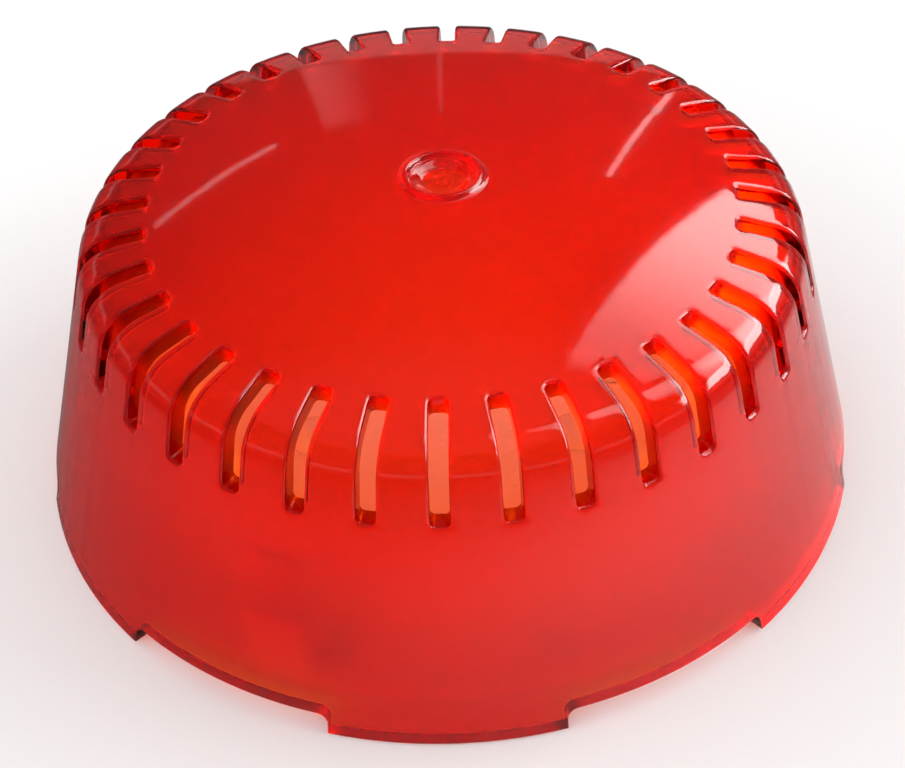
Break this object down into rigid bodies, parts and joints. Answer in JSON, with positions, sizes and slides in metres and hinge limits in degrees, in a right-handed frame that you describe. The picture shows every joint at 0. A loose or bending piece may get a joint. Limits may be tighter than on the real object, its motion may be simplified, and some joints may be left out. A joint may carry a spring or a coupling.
{
  "type": "horn strobe",
  "caption": "Round low-profile horn strobe: slotted translucent red cover over a white sounder and lamp head on a flat wall base.",
  "frame": {"origin": "centre of the flat wall face, on the axis of the cover", "axes": "+Z away from the wall along the cover's axis, -Y through the middle of one low rim tab (the front), +X to the right of it"},
  "size_m": [0.0988, 0.1, 0.0387],
  "materials": {
    "red_lens": "glossy transparent red polycarbonate",
    "white_base": "fine satin moulded white",
    "gasket_foam": "closed-cell foam",
    "grommet_rubber": "soft moulded rubber",
    "terminal_housing": "pale grey moulded",
    "plated_clamp": "zinc plated",
    "plated_screw": "zinc plated",
    "bronze_contact": "rolled spring bronze",
    "white_reflector": "smooth reflective white",
    "board": "white solder mask",
    "horn_plastic": "light grey moulded",
    "piezo_brass": "rolled brass sheet",
    "piezo_ceramic": "silvered ceramic",
    "lamp_package": "white package with yellow emitter",
    "clear_lens": "clear polished acrylic",
    "switch_housing": "white moulded",
    "slider": "ivory moulded",
    "volume_housing": "pale moulded",
    "volume_rotor": "ivory moulded",
    "chip_moulding": "black epoxy moulding",
    "ferrite": "sintered ferrite and varnished wire",
    "capacitor_can": "drawn aluminium can",
    "diode_glass": "tinted glass body with plated leads"
  },
  "bodies": {
    "base": {"mounting_base": "white_base", "rear_gasket": "gasket_foam", "cable_grommet": "grommet_rubber", "terminal_block": "terminal_housing", "terminal_clamps": "plated_clamp", "terminal_screws": "plated_screw", "contact_springs": "bronze_contact"},
    "cover": {"lens_cover": "red_lens"},
    "volume_knob": {"volume_rotor": "volume_rotor"},
    "tone_slider_1": {"switch_slider_1": "slider"},
    "tone_slider_2": {"switch_slider_2": "slider"},
    "tone_slider_3": {"switch_slider_3": "slider"},
    "tone_slider_4": {"switch_slider_4": "slider"},
    "tone_slider_5": {"switch_slider_5": "slider"},
    "head": {"board_screws": "plated_screw", "capacitor_1": "capacitor_can", "capacitor_2": "capacitor_can", "chamber_seal": "gasket_foam", "circuit_board": "board", "head_screws": "plated_screw", "horn_driver": "chip_moulding", "inductor": "ferrite", "microcontroller": "chip_moulding", "piezo_ceramic": "piezo_ceramic", "piezo_disc": "piezo_brass", "polarity_diode": "diode_glass", "reflector": "white_reflector", "sounder_horn": "horn_plastic", "strobe_lamp_1": "lamp_package", "strobe_lamp_2": "lamp_package", "strobe_lamp_3": "lamp_package", "strobe_lamp_4": "lamp_package", "strobe_lens_1": "clear_lens", "strobe_lens_2": "clear_lens", "strobe_lens_3": "clear_lens", "strobe_lens_4": "clear_lens", "switch_body": "switch_housing", "volume_body": "volume_housing"}
  },
  "joints": [
    {"name": "head_lift", "type": "slide", "parent": "base", "child": "head", "axis": [0, 0, 1], "range_m": [0, 0.03]},
    {"name": "cover_lift", "type": "slide", "parent": "head", "child": "cover", "axis": [0, 0, 1], "range_m": [0, 0.06]},
    {"name": "volume_turn", "type": "hinge", "parent": "head", "child": "volume_knob", "pos_m": [0.021, 0.0094, 0.0135], "axis": [0, 0, 1], "range_deg": [-135, 135]},
    {"name": "tone_switch_1", "type": "slide", "parent": "head", "child": "tone_slider_1", "axis": [-1, 0, 0], "range_m": [0, 0.0014]},
    {"name": "tone_switch_2", "type": "slide", "parent": "head", "child": "tone_slider_2", "axis": [-1, 0, 0], "range_m": [0, 0.0014]},
    {"name": "tone_switch_3", "type": "slide", "parent": "head", "child": "tone_slider_3", "axis": [-1, 0, 0], "range_m": [0, 0.0014]},
    {"name": "tone_switch_4", "type": "slide", "parent": "head", "child": "tone_slider_4", "axis": [-1, 0, 0], "range_m": [0, 0.0014]},
    {"name": "tone_switch_5", "type": "slide", "parent": "head", "child": "tone_slider_5", "axis": [-1, 0, 0], "range_m": [0, 0.0014]}
  ]
}
